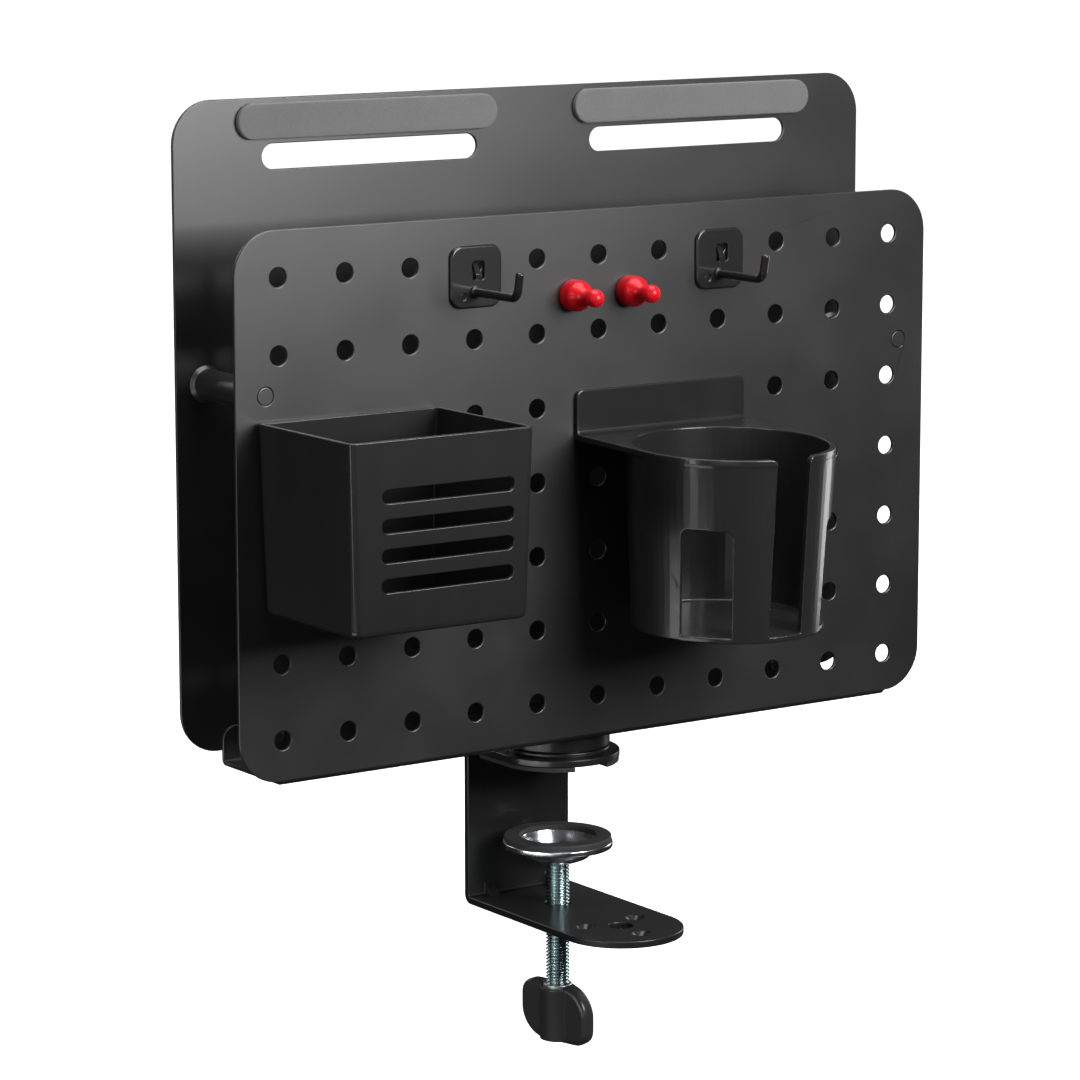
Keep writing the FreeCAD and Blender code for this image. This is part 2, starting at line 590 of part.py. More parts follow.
# pressed darts stiffen the inner bend that carries the screw load
for sx in (-1, 1):
    sk = sketch(cb, "YZ", S.dart_x * sx)
    polygon(sk, [(S.leg_in - S.dart_leg, jaw_top), (S.leg_in + 0.6, jaw_top), (S.leg_in + 0.6, jaw_top + S.dart_leg + 0.6), (S.leg_in, jaw_top + S.dart_leg)])
    pad(cb, sk, S.dart_wide, middle=True)
# hub hole and screw hole
sk = sketch(cb, "XY", arm_top + 1)
circle(sk, 0.0, 0.0, S.hub_hole)
pocket(cb, sk, S.plate + 2)
for cx, cy in ((S.fix_x, S.fix_y), (-S.fix_x, S.fix_y), (0.0, S.fix_front)):
    sk = sketch(cb, "XY", arm_top + 1)
    circle(sk, cx, cy, S.fix_hole)
    pocket(cb, sk, S.plate + 2)
sk = sketch(cb, "XY", jaw_top)
circle(sk, 0.0, 0.0, S.screw_hole)
circle(sk, 0.0, S.jaw_reach, S.hub_hole)
for cx, cy in ((S.fix_x, S.fix_y), (-S.fix_x, S.fix_y), (0.0, S.fix_front)):
    circle(sk, cx, S.jaw_reach + cy, S.fix_hole)
pocket(cb, sk, S.plate + 2)
# countersinks: from below on the upper arm, from above on the lower arm


def rim(e, z, r):
    return e.Curve.TypeId == "Part::GeomCircle" and abs(e.Curve.Radius - num(r)) < 0.01 and abs(e.Curve.Center.z - num(z)) < 0.01


soften(cb, 2.1, lambda e: rim(e, S.arm_low, S.fix_hole), "PartDesign::Chamfer")
soften(cb, 2.1, lambda e: rim(e, jaw_top, S.fix_hole), "PartDesign::Chamfer")
node(cb)

# Jaw pad: rubber sheet under the upper arm, with a slot open to the front
pad_plate = fuse("jaw_pad_plate", [
    cyl("jaw_pad_nose", 0, 0, 0, S.pad_half, S.pad_thick),
    box("jaw_pad_back", -S.pad_half, 0, 0, S.pad_half * 2, S.pad_back, S.pad_thick)])
node(cut("jaw_pad", pad_plate, [
    cyl("jaw_pad_slot_end", 0, S.pad_slot_y, -1, S.pad_slot, S.pad_thick + 2),
    box("jaw_pad_slot", -S.pad_slot, S.pad_slot_y - 20, -1, S.pad_slot * 2, 20.0, S.pad_thick + 2),
    box("jaw_pad_trim", -40.0, S.pad_back, -1, 80.0, 20.0, S.pad_thick + 2)]))

# Weld nut under the lower arm
hexnut = doc.addObject("Part::Prism", "screw_nut_hex")
hexnut.Polygon = 6
hexnut.Circumradius = 16.0 / math.sqrt(3.0)
hexnut.Height = 6.5
hexnut.setExpression("Height", "Dims.nut_high")
hexnut.setExpression("Circumradius", "Dims.nut_flat / 1.7320508")
seat(hexnut, 0, 0, S.jaw_low - S.nut_high)
node(cut("screw_nut", hexnut, [cyl("screw_nut_bore", 0, 0, S.jaw_low - S.nut_high - 1, S.thread_rad + 0.05, S.nut_high + 2)]))

# =====================================================================
# Pressure disc with its rubber ring, on the clamp screw's neck
# =====================================================================
disc_low = S.disc_top - S.disc_edge
node(revolved("pressure_disc", [
    (S.neck_rad + 0.05, S.hub_low), (8.0, S.hub_low), (13.5, S.hub_low + 2.2), (14.7, disc_low), (S.disc_rad - 0.5, disc_low), (S.disc_rad, disc_low + 0.5),
    (S.disc_rad, S.disc_top - 0.5), (S.disc_rad - 0.5, S.disc_top), (S.ring_in - 0.05, S.disc_top), (S.ring_in - 0.05, S.lip_top), (15.2, S.lip_top),
    (14.0, S.disc_top - 2.6), (12.8, S.disc_top - 5.0), (11.2, S.disc_top - 6.4), (8.8, S.hub_low + 2.2), (S.neck_rad + 0.05, S.hub_low + 2.2)]))
node(revolved("disc_rubber_ring", [
    (S.ring_in, S.disc_top), (S.ring_rad, S.disc_top), (S.ring_rad, S.ring_top - 0.4), (S.ring_rad - 0.4, S.ring_top), (S.ring_in + 0.35, S.ring_top), (S.ring_in, S.ring_top - 0.35)]))

# M10 clamp screw: rod, neck through the disc, keeper head in the dish
node(revolved("clamp_screw", [
    (0.0, S.rod_end), (S.thread_rad - 0.6, S.rod_end), (S.thread_rad, S.rod_end + 0.6), (S.thread_rad, S.rod_top - 0.8), (S.thread_rad - 0.8, S.rod_top),
    (S.neck_rad, S.rod_top), (S.neck_rad, S.hub_low + 2.3), (S.keeper_rad, S.hub_low + 2.3), (S.keeper_rad, S.hub_low + 3.3), (S.keeper_rad - 1.6, S.hub_low + 4.4), (0.0, S.hub_low + 4.6)]))

# Knob: hub with two flat wings, turned about the screw axis
turn = Rotation(Vector(0, 0, 1), S.wing_turn.v)
knob_high = S.knob_top - S.knob_low
wing_high = S.wing_top - S.knob_low
wing = box("knob_wing_block", -S.wing_half, -S.wing_thick / 2, 0.0, S.wing_half * 2, S.wing_thick, wing_high)
wing = round_edges("knob_wing_top_front", wing, S.wing_big, lambda e: straight(e, "y", x=S.wing_half, z=wing_high))
wing = round_edges("knob_wing_top_rear", wing, S.wing_small, lambda e: straight(e, "y", x=-S.wing_half, z=wing_high))
wing = round_edges("knob_wing_low_front", wing, S.wing_small, lambda e: straight(e, "y", x=S.wing_half, z=0.0))
wing = round_edges("knob_wing_low_rear", wing, S.wing_big, lambda e: straight(e, "y", x=-S.wing_half, z=0.0))
wing = round_edges("knob_wing_soft", wing, S.wing_soft, lambda e: straight(e, "z", x=[-S.wing_half, S.wing_half], y=[-S.wing_thick / 2, S.wing_thick / 2]))
knob_blank = fuse("knob_blank", [wing, cyl("knob_hub_post", 0, 0, S.post_low - S.knob_low, S.knob_hub, S.knob_top - S.post_low)])
knob = cut("knob", knob_blank, [
    cyl("knob_recess_bore", 0, 0, knob_high, S.knob_recess, 6.0),
    cyl("knob_bore", 0, 0, knob_high - (S.knob_top - S.rod_end) - 0.2, S.thread_rad + 0.02, (S.knob_top - S.rod_end) + 2)])
seat(knob, 0, 0, S.knob_low, turn)
node(knob)
node(revolved("knob_collar", [
    (S.thread_rad + 0.02, S.knob_top), (S.collar_rad, S.knob_top), (S.collar_rad, S.knob_top + S.collar_high - 0.3), (S.collar_rad - 0.3, S.knob_top + S.collar_high), (S.thread_rad + 0.02, S.knob_top + S.collar_high)]))

# =====================================================================
# Pen cup: drafted rectangular moulding, four vent slots in its front wall
# =====================================================================
pc = new_body("pen_cup")


def loft(body, kind, sections):
    f = body.newObject(kind, body.Name + "_loft")
    f.Profile = sections[0]
    f.Sections = sections[1:]
    f.Ruled = True
    doc.recompute()
    return sound(f)


def pen_section(z, inset, grow):
    """Cup outline at a height, drawn in by inset; its corner radius grows."""
    t = (z - S.pen_low) / (S.pen_top - S.pen_low)
    left = S.pen_low_left + (S.pen_left - S.pen_low_left) * t + inset
    right = S.pen_low_right + (S.pen_right - S.pen_low_right) * t - inset
    front = S.pen_low_front + (S.pen_front - S.pen_low_front) * t + inset
    s = sketch(pc, "XY", z)
    return rounded(s, left, front, right, S.pen_back - inset, S.pen_round + grow)


loft(pc, "PartDesign::AdditiveLoft", [pen_section(S.pen_low, S.pen_foot * 0.55, 0.0),
                                      pen_section(S.pen_low + S.pen_foot * 0.3, S.pen_foot * 0.16, 0.0),
                                      pen_section(S.pen_low + S.pen_foot, 0.0, 0.0), pen_section(S.pen_top, 0.0, 0.0)])
loft(pc, "PartDesign::SubtractiveLoft", [pen_section(S.pen_low + S.pen_wall, S.pen_wall, -1.4), pen_section(S.pen_top + 0.5, S.pen_wall, -1.4)])
for k in range(4):
    sk = sketch(pc, "XZ", -(S.pen_front - 2))
    stadium(sk, (S.vent_left + S.vent_right) / 2, S.vent_low + S.vent_high / 2 + S.vent_step * float(k), S.vent_right - S.vent_left, S.vent_high)
    pocket(pc, sk, 8.0)
# two ribs on the back stand the cup off the panel and carry its pegs
for k, cx in enumerate((-(S.pitch * 5), -(S.pitch * 3))):
    sk = sketch(pc, "XZ", -(S.front_face - S.hang_gap))
    rounded(sk, cx - 6, S.pen_low + 14, cx + 6, S.pen_top - 2, 1.5)
    pad(pc, sk, (S.front_face - S.hang_gap) - S.pen_back + 0.2)
    sk = sketch(pc, "XZ", -(S.front_face - S.hang_gap))
    polygon(sk, [(cx - S.peg_root - 0.05, S.peg_low - 0.05), (cx + S.peg_root + 0.05, S.peg_low - 0.05),
                 (cx + S.peg_root + 0.05, S.peg_low + S.peg_high + 0.05), (cx - S.peg_root - 0.05, S.peg_low + S.peg_high + 0.05)])
    pocket(pc, sk, S.peg_seat + 0.02, flip=True)
node(pc)

# =====================================================================
# Cup holder: tapered tub with a flat lug plate and a web to the panel
# =====================================================================
cup_high = S.cup_top - S.cup_low
back = S.front_face - S.hang_gap
# the tub is drawn about its hinge line, where the lug folds, and leans on it
tub_y = S.cup_y - S.front_face
tub_low = S.cup_low - S.cup_hinge
tub_top = S.cup_top - S.cup_hinge
tub_out = fuse("cup_tub_blank", [
    cone("cup_wall_outer", S.cup_x, tub_y, tub_low, S.cup_foot, S.cup_rim, cup_high),
    box("cup_web", S.cup_x - S.cup_rim, tub_y, tub_top - S.web_thick, S.cup_rim * 2, -tub_y - S.hang_gap - 0.6, S.web_thick),
    cyl("cup_rim_collar", S.cup_x, tub_y, tub_top - S.web_thick, S.cup_rim, S.web_thick)])


def slope(z):
    """Outer wall radius at a height over the tub's underside."""
    return S.cup_foot + (S.cup_rim - S.cup_foot) * (z / cup_high)


inner_low = slope(S.cup_floor) - S.cup_wall
bore = cone("cup_bore", S.cup_x, tub_y, tub_low + S.cup_floor, inner_low, slope(cup_high + 1.0) - S.cup_wall, cup_high - S.cup_floor + 1)
tools = [bore, box("cup_mug_slot", S.cup_x - S.mug_slot / 2, tub_y - S.cup_rim - 2, tub_low + S.cup_floor, S.mug_slot, S.cup_rim, cup_high)]
for side, sgn in (("left", -1.0), ("right", 1.0)):
    a = -90.0 + sgn * S.window_turn.v
    rot = Rotation(Vector(0, 0, 1), a)
    win = box("cup_window_block_" + side, 24.0, -S.window_wide / 2, 0, 22.0, S.window_wide, S.window_top - S.cup_low - S.cup_floor)
    win = round_edges("cup_window_" + side, win, S.window_round, lambda e: straight(e, "x", z=S.window_top - S.cup_low - S.cup_floor))
    seat(win, S.cup_x, tub_y, tub_low + S.cup_floor, rot)
    tools.append(win)
tub = cut("cup_tub_cut", tub_out, tools)
tub = round_edges("cup_tub", tub, S.slot_lip, lambda e: straight(e, "y", x=[S.cup_x - S.mug_slot / 2, S.cup_x + S.mug_slot / 2], z=tub_top))
seat(tub, 0, S.front_face, S.cup_hinge, Rotation(Vector(1, 0, 0), S.cup_tilt.v))
# upright lug behind it, a fold fillet in the corner, and a heel low down
lug = box("cup_lug", S.lug_left, back - S.lug_thick, S.cup_top - S.web_thick, S.lug_right - S.lug_left, S.lug_thick, S.lug_top - S.cup_top + S.web_thick)
lug = round_edges("cup_lug_round", lug, S.lug_round, lambda e: straight(e, "y", x=[S.lug_left, S.lug_right], z=S.lug_top))
fold = cut("cup_fold", box("cup_fold_block", S.lug_left + 0.6, back - S.lug_thick - S.fold_round, S.cup_top - 1.0, S.lug_right - S.lug_left - 1.2, S.fold_round + 0.5, S.fold_round + 1.0),
           [cyl("cup_fold_round", S.lug_left - 1.0, back - S.lug_thick - S.fold_round, S.cup_top + S.fold_round, S.fold_round, S.lug_right - S.lug_left + 2.0, Rotation(Vector(0, 1, 0), 90))])
heel = box("cup_heel", S.cup_x - 2, S.cup_y + S.cup_foot - 2, S.cup_low + 6, 4.0, back - (S.cup_y + S.cup_foot - 2), S.web_thick * 12)
cup_out = fuse("cup_holder_solid", [tub, lug, fold, heel])
tools = []
for i, x in enumerate((0.0, S.pitch * 2)):
    tools.append(box("cup_peg_seat_%d" % (i + 1), x - S.peg_root - 0.05, back - S.peg_seat - 0.02, S.peg_low - 0.05,
                     S.peg_root * 2 + 0.1, S.peg_seat + 1.0, S.peg_high + 0.1))
node(cut("cup_holder", cup_out, tools))

# =====================================================================
# Hanging pegs: slanted tongues that drop through the peg holes at 45 deg
# =====================================================================


def pegs(label, xs):
    """Peg clips: a root block let into the back of its cup, and a tongue
    that leaves it inward and down at 45 degrees through a peg hole."""
    made = []
    lead = 3.2 * 0.70710678
    half = S.peg_thick / 2 * 0.70710678
    for i, x in enumerate(xs):
        name = "%s_%d" % (label, i + 1)
        tongue = box(name + "_tongue", x - S.peg_wide / 2, S.front_face + S.sheet / 2 - lead + half, S.peg_row + lead + half,
                     S.peg_wide, S.peg_thick, S.peg_long, Rotation(Vector(1, 0, 0), -135))
        clipped = cut(name + "_clipped", tongue, [box(name + "_trim", -200.0, back - 40.0, 100.0, 400.0, 40.0, 100.0)])
        root = box(name + "_root", x - S.peg_root, back - S.peg_seat, S.peg_low, S.peg_root * 2, S.peg_seat, S.peg_high)
        made.append(fuse(name, [clipped, root]))
    return made


node(group("pen_cup_pegs", pegs("pen_peg", (-(S.pitch * 5), -(S.pitch * 3)))))
node(group("cup_holder_pegs", pegs("cup_peg", (0.0, S.pitch * 2))))

# =====================================================================
# Hooks: plate with a lanced tongue, and a bent wire welded to its front
# =====================================================================
for side, hx in (("left", -S.hook_off), ("right", S.hook_off)):
    hp = new_body("hook_plate_" + side)
    hook_back = S.front_face - S.hang_gap
    sk = sketch(hp, "XZ", -hook_back)
    rounded(sk, hx - S.hook_half, S.hook_low, hx + S.hook_half, S.hook_low + S.hook_high, S.hook_round)
    pad(hp, sk, S.hook_thick)
    hook_face = hook_back - S.hook_thick
    soften(hp, 1.0, lambda e: all(abs(v.Point.y - num(hook_face)) < 0.01 for v in e.Vertexes))
    sk = sketch(hp, "XZ", -(hook_face - 1))
    rounded(sk, hx + S.hook_win_left, S.hook_win_low, hx + S.hook_win_right, S.hook_win_top, 1.4)
    pocket(hp, sk, S.hook_thick + 2)
    # weld dimples
    for sx in (-1.0, 1.0):
        sk = sketch(hp, "XZ", -(hook_face - 1))
        circle(sk, hx + S.dimple_x * sx, S.dimple_lift, 1.5)
        pocket(hp, sk, 1.0 + 0.4)
    # lanced tongue: leaves the window's low edge, inward and up at 60 deg
    c60, s60 = 0.5, 0.8660254
    top_y, top_z = S.front_face, S.lance_lift
    run = S.lance_run
    p0 = (top_y - 1.75, top_z - 1.75 * 1.7320508)
    p1 = (top_y + run, top_z + run * 1.7320508)
    p2 = (p1[0] + S.lance_thick * s60, p1[1] - S.lance_thick * c60)
    p3 = (p0[0] + S.lance_thick * s60, p0[1] - S.lance_thick * c60)
    sk = sketch(hp, "YZ", hx + S.lance_mid)
    polygon(sk, [p0, (hook_face + 0.1, S.hook_win_low + 0.2), (hook_face + 0.1, S.hook_win_low - 0.9), (hook_back - 0.05, S.hook_win_low - 0.9), p3, p2, p1])
    pad(hp, sk, S.lance_wide, middle=True)
    node(hp)

    hw = new_body("hook_wire_" + side)
    sk = sketch(hw, "YZ", hx + S.wire_x)
    lean = math.radians(12.0)
    zc = S.wire_lift + S.wire_bend
    # path: straight out, arc, leaning upturn
    a0 = Vector(num(hook_face), num(S.wire_lift), 0)
    yb = num(S.wire_out) + num(S.wire_bend) * math.cos(lean)
    arc_c = Vector(yb, num(zc), 0)
    a1 = Vector(yb, num(S.wire_lift), 0)
    ang_end = math.pi + lean
    a2 = arc_c + Vector(num(S.wire_bend) * math.cos(ang_end), num(S.wire_bend) * math.sin(ang_end), 0)
    up = (num(S.wire_tip) - a2.y) / math.cos(lean)
    a3 = a2 + Vector(-math.sin(lean) * up, math.cos(lean) * up, 0)
    sk.addGeometry([Part.LineSegment(a0, a1),
                    Part.ArcOfCircle(Part.Circle(arc_c, Vector(0, 0, 1), num(S.wire_bend)), ang_end, 1.5 * math.pi),
                    Part.LineSegment(a2, a3)], False)
    sk.addConstraint(Sketcher.Constraint("Horizontal", 0))
    sk.addConstraint(Sketcher.Constraint("Tangent", 0, 2, 1, 2))
    sk.addConstraint(Sketcher.Constraint("Tangent", 1, 1, 2, 1))
    locate(sk, 0, 1, hook_face, S.wire_lift)
    dim(sk, "Radius", 1, S.wire_bend)
    dim(sk, "DistanceX", -1, 1, 1, 3, S.wire_out + S.wire_bend * math.cos(lean))
    dim(sk, "DistanceY", -1, 1, 2, 2, S.wire_tip)
    dim(sk, "DistanceX", -1, 1, 2, 2, Q(a3.x, repr(a3.x)))
    prof = sketch(hw, "XZ", -hook_face)
    circle(prof, hx + S.wire_x, S.wire_lift, S.wire_rad)
    pipe = hw.newObject("PartDesign::AdditivePipe", hw.Name + "_sweep")
    pipe.Profile = prof
    pipe.Spine = (sk, ["Edge1", "Edge2", "Edge3"])
    doc.recompute()
    soften(hw, 1.1, lambda e: e.Curve.TypeId == "Part::GeomCircle" and all(v.Point.z > num(S.wire_tip) - 2 for v in e.Vertexes) and abs(e.Curve.Radius - 1.7) < 0.01)
    sk = sketch(hw, "XZ", -hook_face)
    circle(sk, hx + S.wire_x, S.wire_lift, S.wire_rad + 0.9)
    pad(hw, sk, 0.9)
    node(hw)

# =====================================================================
# Magnetic push pins: turned plastic shell with a disc magnet in its base
# =====================================================================
for side, x in (("left", S.pin_left_x), ("right", S.pin_right_x)):
    B, L = S.pin_base, S.pin_long
    node(revolved("pin_shell_" + side, [
        (S.magnet_rad + 0.05, 0.0), (B - 0.3, 0.0), (B, 0.3), (B, 2.0), (B - 0.25, 2.2), (B, 2.4), (B, 5.0), (B - 0.2, 5.9), (B - 0.75, 7.0),
        (B - 1.6, 8.2), (B - 2.5, 9.3), (B - 3.2, 10.4), (B - 3.6, 11.5), (B - 3.65, 12.2), (B - 3.35, 13.2), (B - 2.8, 14.4), (B - 2.55, 15.5),
        (B - 2.6, 16.6), (B - 2.95, 17.7), (B - 3.7, 18.7), (B - 4.8, 19.4), (0.0, L), (0.0, S.magnet_thick), (S.magnet_rad + 0.05, S.magnet_thick)],
        x, S.front_face - S.hang_gap, S.pin_lift, TO_FRONT))
    node(revolved("pin_magnet_" + side, [
        (0.0, 0.0), (S.magnet_rad - 0.25, 0.0), (S.magnet_rad, 0.25), (S.magnet_rad, S.magnet_thick), (0.0, S.magnet_thick)],
        x, S.front_face - S.hang_gap, S.pin_lift, TO_FRONT))

# ---------- check and write ----------
doc.recompute()
bad = [o.Label for o in doc.Objects if any(s in ("Invalid", "Error") for s in o.State)]
if bad:
    raise RuntimeError("failed objects: " + ", ".join(bad))
seen = set()
for o in NODES:
    if o.Label in seen or len(o.Label) > 59:
        raise RuntimeError("bad label " + o.Label)
    seen.add(o.Label)
    if o.Shape.isNull() or not o.Shape.isValid() or not o.Shape.Solids:
        raise RuntimeError("bad shape " + o.Label)
os.makedirs("parts", exist_ok=True)
for old in os.listdir("parts"):
    if old.endswith(".step"):
        os.remove(os.path.join("parts", old))
for o in NODES:
    o.Shape.exportStep("parts/%s.step" % o.Label)
    bb = o.Shape.BoundBox
    print("%-20s solids %d  vol %9.1f  x %7.2f %7.2f  y %7.2f %7.2f  z %7.2f %7.2f" % (
        o.Label, len(o.Shape.Solids), o.Shape.Volume, bb.XMin, bb.XMax, bb.YMin, bb.YMax, bb.ZMin, bb.ZMax))
print("nodes", len(NODES))
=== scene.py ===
import json
import math

import bmesh
import bpy
from mathutils import Matrix, Vector


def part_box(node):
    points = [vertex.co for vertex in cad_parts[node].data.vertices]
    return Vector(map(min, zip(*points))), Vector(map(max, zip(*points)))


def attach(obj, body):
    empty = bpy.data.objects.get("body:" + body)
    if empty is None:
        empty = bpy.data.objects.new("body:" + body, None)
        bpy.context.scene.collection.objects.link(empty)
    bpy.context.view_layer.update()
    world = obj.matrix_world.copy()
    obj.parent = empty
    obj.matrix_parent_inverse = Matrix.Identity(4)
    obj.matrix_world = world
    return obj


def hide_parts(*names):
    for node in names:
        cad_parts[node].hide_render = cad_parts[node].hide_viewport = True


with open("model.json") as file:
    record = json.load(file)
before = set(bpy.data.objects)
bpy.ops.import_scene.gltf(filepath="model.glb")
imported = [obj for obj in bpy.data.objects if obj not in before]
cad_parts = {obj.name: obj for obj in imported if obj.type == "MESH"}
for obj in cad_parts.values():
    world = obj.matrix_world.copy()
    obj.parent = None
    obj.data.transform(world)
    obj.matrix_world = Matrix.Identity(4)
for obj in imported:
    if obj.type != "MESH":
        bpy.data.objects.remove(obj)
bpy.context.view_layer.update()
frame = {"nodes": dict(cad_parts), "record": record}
NODES = frame["nodes"]
SLOT = {p["node"]: p["material_slot"] for p in frame["record"]["subparts"]}
BODY = {}
for body_name, members in frame["record"]["behaviour"]["bodies"].items():
    for member in members:
        BODY[member] = body_name
MM = 0.001


# ---------------------------------------------------------------- materials

def start(name):
    m = bpy.data.materials.new(name)
    m.use_nodes = True
    nt = m.node_tree
    nt.nodes.clear()
    out = nt.nodes.new("ShaderNodeOutputMaterial")
    p = nt.nodes.new("ShaderNodeBsdfPrincipled")
    nt.links.new(p.outputs["BSDF"], out.inputs["Surface"])
    co = nt.nodes.new("ShaderNodeTexCoord")
    return m, nt, p, co.outputs["Object"]


def noise(nt, vec, scale, detail=2.0, rough=0.5, stretch=None):
    if stretch:
        mp = nt.nodes.new("ShaderNodeMapping")
        mp.inputs["Scale"].default_value = stretch
        nt.links.new(vec, mp.inputs["Vector"])
        vec = mp.outputs["Vector"]
    n = nt.nodes.new("ShaderNodeTexNoise")
    n.inputs["Scale"].default_value = scale
    n.inputs["Detail"].default_value = detail
    n.inputs["Roughness"].default_value = rough
    nt.links.new(vec, n.inputs["Vector"])
    return n.outputs["Fac"]


def remap(nt, val, a, b, lo=0.3, hi=0.7):
    r = nt.nodes.new("ShaderNodeMapRange")
    r.inputs["From Min"].default_value = lo
    r.inputs["From Max"].default_value = hi
    r.inputs["To Min"].default_value = a
    r.inputs["To Max"].default_value = b
    nt.links.new(val, r.inputs["Value"])
    return r.outputs["Result"]


def ramp(nt, val, stops):
    r = nt.nodes.new("ShaderNodeValToRGB")
    el = r.color_ramp.elements
    while len(el) < len(stops):
        el.new(0.5)
    for e, (pos, col) in zip(el, stops):
        e.position = pos
        e.color = (*col, 1.0)
    nt.links.new(val, r.inputs["Fac"])
    return r.outputs["Color"]


def bump(nt, height, strength, distance, below=None):
    b = nt.nodes.new("ShaderNodeBump")
    b.inputs["Strength"].default_value = strength
    b.inputs["Distance"].default_value = distance
    nt.links.new(height, b.inputs["Height"])
    if below is not None:
        nt.links.new(below, b.inputs["Normal"])
    return b.outputs["Normal"]


def add(nt, a, b, fa=1.0, fb=1.0):
    m1 = nt.nodes.new("ShaderNodeMath")
    m1.operation = "MULTIPLY"
    m1.inputs[1].default_value = fa
    nt.links.new(a, m1.inputs[0])
    m2 = nt.nodes.new("ShaderNodeMath")
    m2.operation = "MULTIPLY_ADD"
    m2.inputs[1].default_value = fb
    nt.links.new(b, m2.inputs[0])
    nt.links.new(m1.outputs[0], m2.inputs[2])
    return m2.outputs[0]


def tint(c, k):
    return tuple(min(1.0, v * k) for v in c)


def painted(name, base, rough, grain=2600.0, grain_strength=0.25, orange=420.0, orange_strength=0.06, spec=0.5, spread=0.05, coat=0.0, coat_rough=0.22):
    """Powder coat: fine leather-like grain, a softer orange peel, roughness
    and tone that drift a little over the sheet."""
    m, nt, p, co = start(name)
    fine = noise(nt, co, grain, 2.0, 0.55)
    peel = noise(nt, co, orange, 3.0, 0.5)
    drift = noise(nt, co, 22.0, 3.0, 0.6)
    nrm = bump(nt, peel, orange_strength, 0.00015)
    nrm = bump(nt, fine, grain_strength, 0.00003, nrm)
    nt.links.new(nrm, p.inputs["Normal"])
    tone = add(nt, fine, drift, 0.55, 0.45)
    nt.links.new(ramp(nt, tone, [(0.36, tint(base, 0.86)), (0.64, tint(base, 1.16))]), p.inputs["Base Color"])
    r = add(nt, drift, fine, 0.6, 0.4)
    nt.links.new(remap(nt, r, rough - spread, rough + spread, 0.35, 0.65), p.inputs["Roughness"])
    p.inputs["Specular IOR Level"].default_value = spec
    if coat:
        p.inputs["Coat Weight"].default_value = coat
        p.inputs["Coat Roughness"].default_value = coat_rough
    return m


def moulded(name, base, rough, grain=5200.0, strength=0.22, spec=0.5, coat=0.0, coat_rough=0.1, spread=0.05):
    """Moulded plastic: spark-erosion grain and faint flow tone."""
    m, nt, p, co = start(name)
    fine = noise(nt, co, grain, 2.0, 0.6)
    flow = noise(nt, co, 30.0, 4.0, 0.55, (1.0, 1.0, 0.35))
    wave = noise(nt, co, 130.0, 1.0, 0.4)
    nrm = bump(nt, wave, 0.05, 0.0004)
    nrm = bump(nt, fine, strength, 0.00002, nrm)
    nt.links.new(nrm, p.inputs["Normal"])
    tone = add(nt, fine, flow, 0.4, 0.6)
    nt.links.new(ramp(nt, tone, [(0.35, tint(base, 0.88)), (0.65, tint(base, 1.14))]), p.inputs["Base Color"])
    nt.links.new(remap(nt, flow, rough - spread, rough + spread, 0.35, 0.65), p.inputs["Roughness"])
    p.inputs["Specular IOR Level"].default_value = spec
    if coat:
        p.inputs["Coat Weight"].default_value = coat
        p.inputs["Coat Roughness"].default_value = coat_rough
    return m


def rubber(name, base, rough=0.72):
    m, nt, p, co = start(name)
    fine = noise(nt, co, 3400.0, 3.0, 0.65)
    cloud = noise(nt, co, 70.0, 4.0, 0.6)
    nt.links.new(bump(nt, fine, 0.45, 0.00005), p.inputs["Normal"])
    nt.links.new(ramp(nt, add(nt, fine, cloud, 0.5, 0.5), [(0.36, tint(base, 0.8)), (0.64, tint(base, 1.35))]), p.inputs["Base Color"])
    nt.links.new(remap(nt, cloud, rough - 0.07, rough + 0.07), p.inputs["Roughness"])
    p.inputs["Specular IOR Level"].default_value = 0.35
    return m


def metal(name, base, rough, around=None, streak=0.12, spread=0.05, painted_reflection_tint=None):
    """Zinc or nickel plate: faint turning marks round the Z axis and
    crystalline cloudiness."""
    m, nt, p, co = start(name)
    cloud = noise(nt, co, 210.0, 4.0, 0.65)
    fine = noise(nt, co, 2400.0, 2.0, 0.6)
    lines = noise(nt, co, 60.0, 3.0, 0.6, around or (8.0, 8.0, 90.0))
    h = add(nt, lines, fine, 0.6, 0.4)
    nt.links.new(bump(nt, h, streak, 0.00002), p.inputs["Normal"])
    tone = add(nt, cloud, lines, 0.6, 0.4)
    colour = ramp(nt, tone, [(0.34, tint(base, 0.86)), (0.66, tint(base, 1.08))])
    if painted_reflection_tint:
        # below the dish the zinc is painted darker and bluer: a painted reflection of the dark teal band on the rod,
        # not a different plating
        split = nt.nodes.new("ShaderNodeSeparateXYZ")
        nt.links.new(co, split.inputs[0])
        mix = nt.nodes.new("ShaderNodeMix")
        mix.data_type = "RGBA"
        nt.links.new(remap(nt, split.outputs["Z"], 1.0, 0.0, -0.0455, -0.0425), mix.inputs[0])
        nt.links.new(colour, mix.inputs[6])
        nt.links.new(ramp(nt, tone, [(0.34, tint(painted_reflection_tint, 0.84)), (0.66, tint(painted_reflection_tint, 1.08))]), mix.inputs[7])
        colour = mix.outputs[2]
    nt.links.new(colour, p.inputs["Base Color"])
    nt.links.new(remap(nt, add(nt, cloud, lines, 0.5, 0.5), rough - spread, rough + spread, 0.36, 0.64), p.inputs["Roughness"])
    p.inputs["Metallic"].default_value = 1.0
    return m


